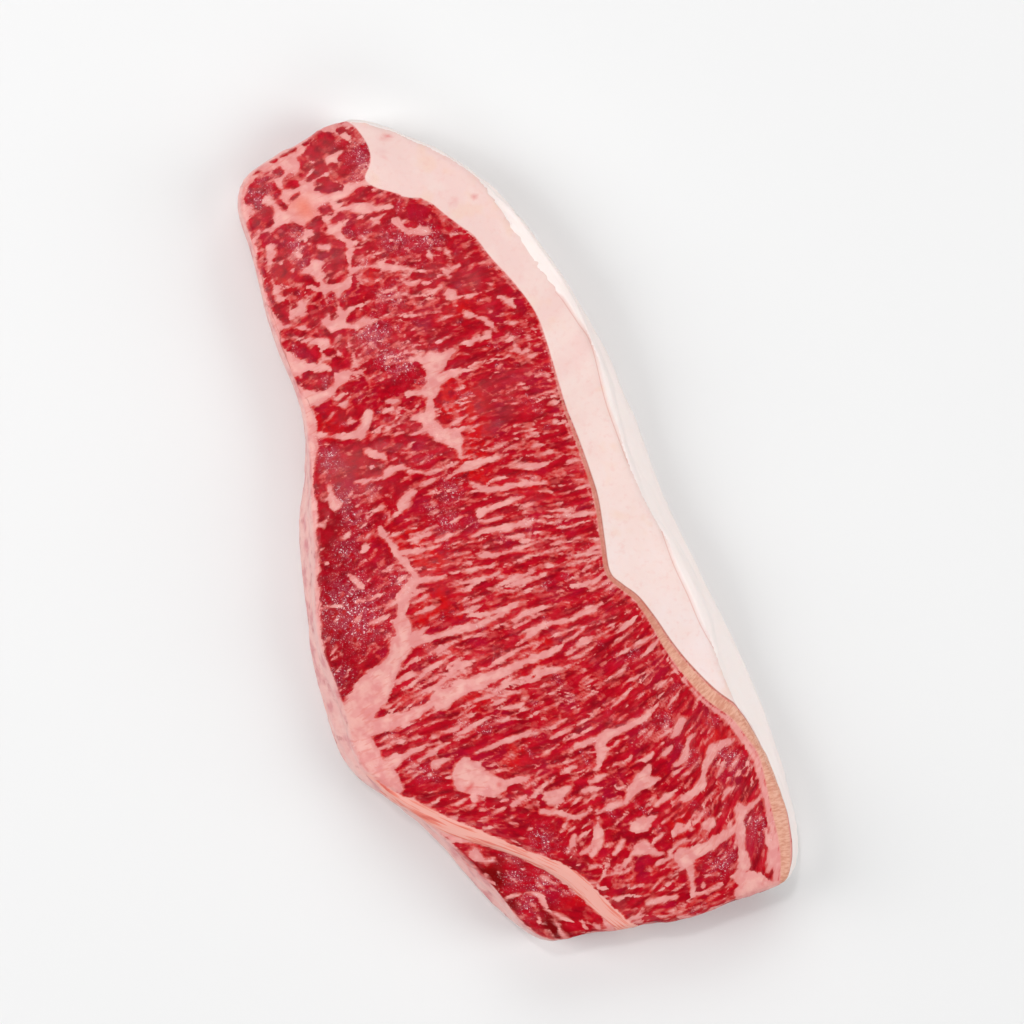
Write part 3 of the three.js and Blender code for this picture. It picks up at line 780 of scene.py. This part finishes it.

# %% [markdown]
# ## What the surface carries
# The shader needs the map too, so the distances are stored on the points as attributes, in
# millimetres. Distances blend well between points, so even a thin streak keeps a crisp edge when
# the shader cuts it at zero. A few places were seen to be special, and are stored as soft
# patches: painted sheen where the film of moisture is cloudy, fresh warm red, painted shade of
# deep crimson where the meat dips, an orange blot in the head, and a few red specks on the fat.

# %% Store attributes
# Painted sheen: places where the film of moisture is cloudy, stored as soft patches
SHEEN_SPOTS = [(258, 199), (364, 160), (300, 246), (332, 460), (346, 500), (360, 520), (395, 300),
        (396, 245), (426, 243), (374, 337), (396, 365), (404, 368), (376, 338), (351, 552),
        (396, 579), (456, 489), (446, 517), (338, 679), (426, 767), (663, 720), (726, 756),
        (756, 822), (718, 856), (516, 874), (526, 904), (546, 884), (541, 836)]
WARM = [(450, 392), (447, 410), (468, 402), (476, 430), (471, 450), (476, 473), (529, 480),
        (402, 539), (421, 614), (463, 614), (537, 644), (424, 548), (436, 560), (440, 596),
        (352, 628), (332, 424), (479, 692), (371, 276), (461, 306), (285, 282), (343, 615),
        (529, 666), (676, 819), (709, 731), (491, 874), (516, 751), (579, 889)]
MUSCLE_SHEEN = [(358, 618), (352, 600)]
# Painted shade: deep crimson where the meat dips
DIP_SHADE_SPOTS = [(476, 872), (488, 878), (498, 868), (545, 915), (553, 925), (560, 935), (506, 901)]
DARK_SIDE = [(334, 520), (335, 560), (330, 600), (340, 640), (345, 680)]
ORANGE = [(306, 209)]
RED_DOTS = [(501, 781), (468, 786), (386, 141), (383, 158), (475, 200), (458, 203)]
CAP_BORDER_LENGTH, SEAM_LENGTH = 280, 78


def store(name, values):
    """Keeps one value, or one vector, on every point."""
    kind = "FLOAT_VECTOR" if np.ndim(values) == 2 else "FLOAT"
    attribute = mesh.attributes.new(name, kind, "POINT")
    attribute.data.foreach_set("vector" if np.ndim(values) == 2 else "value",
                               np.asarray(values, np.float32).ravel())


store("fat", fat - 0.06)
store("faint", read_map(FAINT, sx, sy))
store("cap", cap)
store("headward", ramp(y, -75, 95))
store("membrane", band)
store("crease", np.where(cap > 0.8, np.where(face_up > 0.3, crease, 9), -9))
store("silver", read_map(SILVER, sx, sy))
along_cap = read_map(CAP_ALONG, x, y) * CAP_BORDER_LENGTH
store("border", np.column_stack((along_cap, cap, depth)))
along_seam = read_map(SEAM_ALONG, sx, sy) * SEAM_LENGTH
store("seam", np.column_stack((along_seam, silver, depth)))
store("skin", bone_side)
store("rim", rim)
# Painted sheen of the cloudy film of moisture
store("film_sheen", np.maximum(spots(SHEEN_SPOTS, 3.0), spots(MUSCLE_SHEEN, 6.5)))
store("warm", spots(WARM, 3.6))
# Painted shade: deep crimson where the meat dips, weaker along the left muscle
store("deep", np.maximum(spots(DIP_SHADE_SPOTS, 2.6), 0.35 * spots(DARK_SIDE, 6.0)))
store("orange", spots(ORANGE, 3.0))
store("red_dots", spots(RED_DOTS, 0.7))
store("lobed", read_map(LOBED, sx, sy))
store("grain", grain)
print("attributes:", [a.name for a in mesh.attributes if not a.name.startswith(".")])

# %% [markdown]
# ## Building a material out of small steps
# A material of this size is easier to read as code than as a picture of wires, if each step is
# one call: read an attribute, make noise, fade a value between two limits, blend two colours.
# These helpers add one node each and return its output, and a plain number or colour is set
# straight on the socket.

# %% Helpers for nodes
flesh = bpy.data.materials.new("marbled_beef")
flesh.use_nodes = True
tree = flesh.node_tree
shader = tree.nodes["Principled BSDF"]


def feed(value, socket):
    """A link from another node, or a plain value, into a socket."""
    if isinstance(value, bpy.types.NodeSocket):
        tree.links.new(value, socket)
    else:
        socket.default_value = value


def carried(name, kind="Fac"):
    """An attribute that was stored on the points."""
    node = tree.nodes.new("ShaderNodeAttribute")
    node.attribute_name = name
    return node.outputs[kind]


def maths(operation, *values):
    node = tree.nodes.new("ShaderNodeMath")
    node.operation = operation
    for value, socket in zip(values, node.inputs):
        feed(value, socket)
    return node.outputs[0]


def times(first, second):
    return maths("MULTIPLY", first, second)


def plus(first, second):
    return maths("ADD", first, second)


def faded(value, start, end, low=0.0, high=1.0):
    """From low to high while a value goes from start to end, smoothly."""
    node = tree.nodes.new("ShaderNodeMapRange")
    node.interpolation_type = "SMOOTHSTEP"
    for item, socket in zip((value, start, end, low, high), node.inputs):
        feed(item, socket)
    return node.outputs[0]


def stretched(vector, along, across, down):
    """A vector scaled each way. Noise read at it is longest where the number is smallest."""
    node = tree.nodes.new("ShaderNodeVectorMath")
    node.operation = "MULTIPLY"
    feed(vector, node.inputs[0])
    node.inputs[1].default_value = (along, across, down)
    return node.outputs[0]


def noise(vector, size, detail=2.0, roughness=0.5):
    """Soft noise from 0 to 1, with patches of about the size given in mm."""
    node = tree.nodes.new("ShaderNodeTexNoise")
    feed(vector, node.inputs["Vector"])
    node.inputs["Scale"].default_value = 1 / size
    node.inputs["Detail"].default_value = detail
    node.inputs["Roughness"].default_value = roughness
    return node.outputs["Fac"]


def tint(red, green, blue):
    """A colour as it is seen, 0 to 255 each, turned into light."""
    return (*((c / 255 / 12.92 if c < 11 else ((c / 255 + 0.055) / 1.055)**2.4)
              for c in (red, green, blue)), 1.0)


def blended(first, second, share):
    node = tree.nodes.new("ShaderNodeMix")
    node.data_type = "RGBA"
    feed(share, node.inputs[0])
    feed(first, node.inputs[6])
    feed(second, node.inputs[7])
    return node.outputs[2]


def stepped(value, stops):
    """Colours along a scale, as (place, colour) pairs."""
    node = tree.nodes.new("ShaderNodeValToRGB")
    feed(value, node.inputs[0])
    scale = node.color_ramp
    while len(scale.elements) < len(stops):
        scale.elements.new(1.0)
    for element, (at, colour) in zip(scale.elements, stops):
        element.position, element.color = at, colour
    return node.outputs[0]


print("helpers ready")

# %% [markdown]
# ## Lean
# Lean is never one red. Bundles of fibre show as fine grains a little paler than their
# borders, some patches are deep crimson and some are fresh and warm, and fat just below the
# surface shows through as paler smears. A painted sheen, with painted glints in it, turns the
# lean paler and purplish where the film of moisture is cloudy, and painted shade makes it
# deep crimson where the meat dips.

# %% Colour the lean
fibres = carried("grain", "Vector")
lobed = carried("lobed")
METRE = 1000.0
in_mm = stretched(tree.nodes.new("ShaderNodeTexCoord").outputs["Object"], METRE, METRE, METRE)
torn = plus(noise(stretched(fibres, 0.4, 1.0, 0.3), 0.6),
            noise(stretched(fibres, 0.3, 1.0, 0.3), 1.5))
ragged = maths("SUBTRACT", torn, 1.0)
fat_depth = plus(carried("fat"), times(ragged, 1.1))


def bundled(size, detail, roughness=0.55):
    """Noise drawn out along the fibres where they lie flat, and round where they are cut across."""
    lying = noise(stretched(fibres, 0.22, 1.0, 0.3), size, detail, roughness)
    standing = noise(stretched(fibres, 0.8, 1.0, 0.3), size * 1.2, detail, roughness)
    return plus(times(lying, maths("SUBTRACT", 1.0, lobed)), times(standing, lobed))


lean = stepped(bundled(1.7, 3.0), [(0.35, tint(136, 0, 18)), (0.44, tint(160, 0, 22)),
                                   (0.53, tint(180, 0, 24)), (0.65, tint(196, 14, 38))])
lean = blended(lean, tint(164, 10, 50), faded(noise(fibres, 7.0, 3.0), 0.5, 0.68, 0.0, 0.45))
grains = noise(stretched(fibres, 0.7, 1.0, 0.3), 0.6, 3.0, 0.65)
clouded = faded(noise(fibres, 3.5), 0.42, 0.6, 0.15, 1.0)
pale_grains = times(faded(grains, 0.58, 0.8, 0.0, 0.45), clouded)
lean = blended(lean, tint(208, 70, 84), pale_grains)
lean = blended(lean, tint(126, 0, 14), faded(grains, 0.45, 0.28, 0.0, 0.4))
warmth = times(carried("warm"), faded(noise(fibres, 2.0), 0.35, 0.6))
lean = blended(lean, tint(210, 8, 6), times(warmth, 0.8))
smear = plus(carried("faint"), times(ragged, 1.3))
smear_share = times(faded(smear, -0.1, 0.5, 0.0, 0.5), clouded)
lean = blended(lean, tint(214, 84, 82), smear_share)
near_fat = faded(fat_depth, -0.6, -0.1)
halo = blended(tint(212, 26, 16), tint(216, 92, 82), faded(noise(fibres, 2.2), 0.45, 0.58))
halo_share = times(near_fat, faded(noise(fibres, 3.0), 0.42, 0.62, 0.1, 0.8))
lean = blended(lean, halo, halo_share)
# Painted sheen: where the film of moisture is cloudy, the lean is painted paler and purplish
painted_sheen = maths("MAXIMUM", carried("film_sheen"), faded(noise(fibres, 6.0), 0.58, 0.7, 0.0, 0.5))
painted_sheen = times(painted_sheen, faded(noise(fibres, 1.5, 4.0), 0.35, 0.55))
lean = blended(lean, tint(172, 50, 72), times(painted_sheen, 0.75))
# Painted glints: pale pink grains inside the painted sheen
painted_grain_glints = times(painted_sheen, faded(noise(in_mm, 0.5, 4.0, 0.7), 0.52, 0.62))
lean = blended(lean, tint(214, 132, 142), times(painted_grain_glints, 0.55))
# Painted shade: deep crimson where the meat dips, weaker along the left muscle
lean = blended(lean, tint(112, 0, 2), times(carried("deep"), 0.9))
print("lean mixed from", sum(n.type == "MIX" for n in tree.nodes), "blends")

# %% [markdown]
# ## Fat, cap, membrane and skin
# Marbling is pinker at its thin edges, where lean shines through, and creamier where it is
# thick. The cap is another fat, whiter and drier; as painted light its side beyond the crease
# is painted whiter still, and a thin painted shade lines the crease. A grainy tan membrane
# edges it, a silverskin of fine strands crosses the tail, and the bone side has a thin purplish
# skin.

# %% Colour the rest and put all together
fat_lines = noise(stretched(fibres, 0.25, 1.0, 0.3), 0.9, 3.0)
fat_colour = blended(tint(210, 98, 96), tint(224, 143, 140), faded(fat_depth, 0.0, 0.4))
fat_colour = blended(fat_colour, tint(232, 163, 157), faded(noise(in_mm, 4.0), 0.45, 0.6, 0.0, 0.8))
thick = times(faded(fat_depth, 0.4, 1.6), faded(noise(in_mm, 3.0, 2.0), 0.36, 0.6))
fat_colour = blended(fat_colour, tint(244, 198, 186), times(thick, 0.4))
fat_colour = blended(fat_colour, tint(222, 128, 122), faded(fat_lines, 0.52, 0.7, 0.0, 0.6))
fat_colour = blended(fat_colour, tint(229, 112, 88), times(carried("orange"), 0.75))
softness = faded(noise(fibres, 3.0), 0.4, 0.62, 0.1, 0.55)
colour = blended(lean, fat_colour, faded(fat_depth, times(softness, -1.0), softness))
# Painted glints: white specks inside the painted sheen, over lean and fat alike
painted_white_glints = times(painted_sheen, faded(noise(in_mm, 0.42, 1.0), 0.63, 0.67))
colour = blended(colour, tint(250, 236, 238), times(painted_white_glints, 0.75))

skin_tone = noise(in_mm, 5.0, 3.0)
skin_colour = blended(tint(232, 190, 184), tint(196, 120, 128), faded(skin_tone, 0.45, 0.7))
mottle = faded(noise(in_mm, 3.5, 4.0), 0.58, 0.72, 0.0, 0.6)
skin_colour = blended(skin_colour, tint(150, 50, 62), mottle)
colour = blended(colour, skin_colour, times(carried("skin"), 0.6))

fold = plus(carried("rim"), faded(noise(in_mm, 8.0, 2.0), 0.2, 0.8, -1.2, 0.8))
fold_share = times(faded(maths("ABSOLUTE", fold), 0.24, 0.05),
                   faded(noise(in_mm, 12.0), 0.4, 0.55, 0.0, 0.55))
fold_share = times(fold_share, faded(carried("skin"), 0.6, 0.1))
colour = blended(colour, tint(178, 84, 78), fold_share)

cap_depth = carried("cap")
cap_tone = plus(carried("headward"), faded(noise(in_mm, 9.0, 4.0), 0.3, 0.7, -0.2, 0.2))
cap_colour = stepped(cap_tone, [(0.0, tint(240, 221, 218)), (0.4, tint(240, 216, 210)),
                                (0.7, tint(239, 212, 205)), (0.95, tint(237, 204, 198))])
yellow_blots = faded(noise(in_mm, 7.0, 2.0), 0.56, 0.72, 0.0, 0.4)
cap_colour = blended(cap_colour, tint(238, 200, 178), yellow_blots)
pink_specks = faded(noise(in_mm, 1.4, 4.0), 0.5, 0.8, 0.0, 0.35)
cap_colour = blended(cap_colour, tint(232, 182, 174), pink_specks)
crease_at = carried("crease")
# Painted light: the cap's side beyond the crease and the cap's wall are painted whiter, as if lit
cap_colour = blended(cap_colour, tint(252, 241, 237), faded(crease_at, 0.2, 1.2, 0.0, 0.85))
# Painted shade: a thin darker line along the crease
crease_shade = faded(maths("ABSOLUTE", crease_at), 0.22, 0.03, 0.0, 0.4)
cap_colour = blended(cap_colour, tint(206, 120, 104), crease_shade)
colour = blended(colour, cap_colour, faded(cap_depth, -0.1, 0.35))
edge_line = maths("ABSOLUTE", maths("SUBTRACT", cap_depth, 0.05))
line_share = times(faded(edge_line, 0.3, 0.1, 0.0, 0.75),
                   faded(carried("headward"), 0.72, 0.5))
colour = blended(colour, tint(184, 116, 96), line_share)

grit = noise(stretched(carried("border", "Vector"), 1.0, 0.3, 0.5), 0.6, 4.0, 0.6)
membrane_colour = blended(tint(210, 142, 118), tint(230, 176, 152), faded(grit, 0.35, 0.65))
browner = faded(carried("headward"), 0.12, 0.32, 0.0, 0.7)
membrane_colour = blended(membrane_colour, tint(192, 108, 92), browner)
colour = blended(colour, membrane_colour, faded(carried("membrane"), -0.05, 0.45, 0.0, 0.95))
strands = noise(stretched(carried("seam", "Vector"), 0.06, 1.0, 0.3), 0.7, 3.0)
silver_colour = blended(tint(236, 170, 158), tint(230, 130, 114), faded(strands, 0.5, 0.62))
silver_colour = blended(silver_colour, tint(204, 84, 78), faded(strands, 0.62, 0.72, 0.0, 0.6))
silver_share = faded(plus(carried("silver"), times(ragged, 0.8)), -0.1, 0.25)
colour = blended(colour, silver_colour, silver_share)
colour = blended(colour, tint(212, 44, 44), times(carried("red_dots"), 0.6))
feed(colour, shader.inputs["Base Color"])
print("blends in all:", sum(n.type == "MIX" for n in tree.nodes))

# %% [markdown]
# ## Wetness
# Raw meat glistens because a thin film of juice lies over a rougher surface. So the surface
# itself is satin, a clear coat over it stands for the film, and fine bump breaks the film
# into small glints. A little light scatters below the surface and softens it.

# %% Gloss, film and fine bump
gloss_patches = noise(fibres, 2.5, 3.0)
feed(faded(gloss_patches, 0.3, 0.7, 0.28, 0.42), shader.inputs["Roughness"])
feed(faded(cap_depth, -0.2, 0.6, 0.24, 0.1), shader.inputs["Coat Weight"])
for name, value in (("Coat Roughness", 0.08), ("Specular IOR Level", 0.05),
                    ("Subsurface Weight", 0.08), ("Subsurface Radius", (1.0, 0.35, 0.25)),
                    ("Subsurface Scale", 0.0008)):
    feed(value, shader.inputs[name])
film = plus(times(grains, 0.6), times(noise(in_mm, 0.35, 2.0), 0.4))
bump = tree.nodes.new("ShaderNodeBump")
bump.inputs["Strength"].default_value = 1.0
bump.inputs["Distance"].default_value = 0.11 * MM
feed(film, bump.inputs["Height"])
feed(bump.outputs[0], shader.inputs["Normal"])
feed(bump.outputs[0], shader.inputs["Coat Normal"])

mesh.materials.append(flesh)
bpy.ops.object.shade_smooth()
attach(steak, "root")
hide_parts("steak")
print("material nodes:", len(tree.nodes))

# %% [markdown]
# ## Floor, light and camera
# The steak was seen from straight above in even, bright studio light. A pale floor and a pale
# world fill the shadows, four long softboxes rake across the face from the four sides, and a
# small one near the camera draws the glints. The left softbox is the strongest, so that the
# relief still reads.

# %% Stage
bpy.ops.mesh.primitive_plane_add(size=6, location=(0, 0, 0))
floor = bpy.context.object
floor.name = "floor"
paint = bpy.data.materials.new("pale_floor")
paint.use_nodes = True
paint.node_tree.nodes["Principled BSDF"].inputs["Base Color"].default_value = (0.84, 0.84, 0.84, 1)
paint.node_tree.nodes["Principled BSDF"].inputs["Roughness"].default_value = 0.7
floor.data.materials.append(paint)

world = bpy.data.worlds.new("studio")
bpy.context.scene.world = world
world.use_nodes = True
world.node_tree.nodes["Background"].inputs["Color"].default_value = (1, 1, 1, 1)
world.node_tree.nodes["Background"].inputs["Strength"].default_value = 0.14
bpy.context.scene.view_settings.view_transform = "Standard"


def softbox(name, at, watts, width, height):
    """An area light that looks at the middle of the steak."""
    bpy.ops.object.light_add(type="AREA", location=at)
    light = bpy.context.object
    light.name = name
    light.data.shape = "RECTANGLE"
    light.data.size, light.data.size_y = width, height
    light.data.energy = watts
    down = math.atan2(math.hypot(at[0], at[1]), at[2])
    light.rotation_euler = (down, 0, math.atan2(at[0], -at[1]))
    return light


softbox("left_softbox", (-1.1, 0.1, 0.85), 11.5, 0.6, 1.2)
softbox("right_softbox", (1.1, -0.1, 0.85), 8.5, 0.6, 1.2)
softbox("back_softbox", (0.1, 1.1, 0.85), 6.0, 1.2, 0.6)
softbox("front_softbox", (-0.1, -1.1, 0.85), 4.4, 1.2, 0.6)
softbox("glint_light", (-0.15, 0.35, 1.3), 2.0, 0.1, 0.1)

LENS, SENSOR = 135.0, 36.0
FRAME_PIXELS = 1024
FRAME_X, FRAME_Y, LEVEL = -1.26, 4.94, 6
height_over_level = FRAME_PIXELS * MM_A_PIXEL * LENS / SENSOR
bpy.ops.object.camera_add(location=(FRAME_X * MM, FRAME_Y * MM,
                                    (LEVEL + height_over_level) * MM))
camera = bpy.context.object
camera.data.lens, camera.data.sensor_width = LENS, SENSOR
bpy.context.scene.camera = camera
print("camera height:", round(camera.location.z, 3), "m")
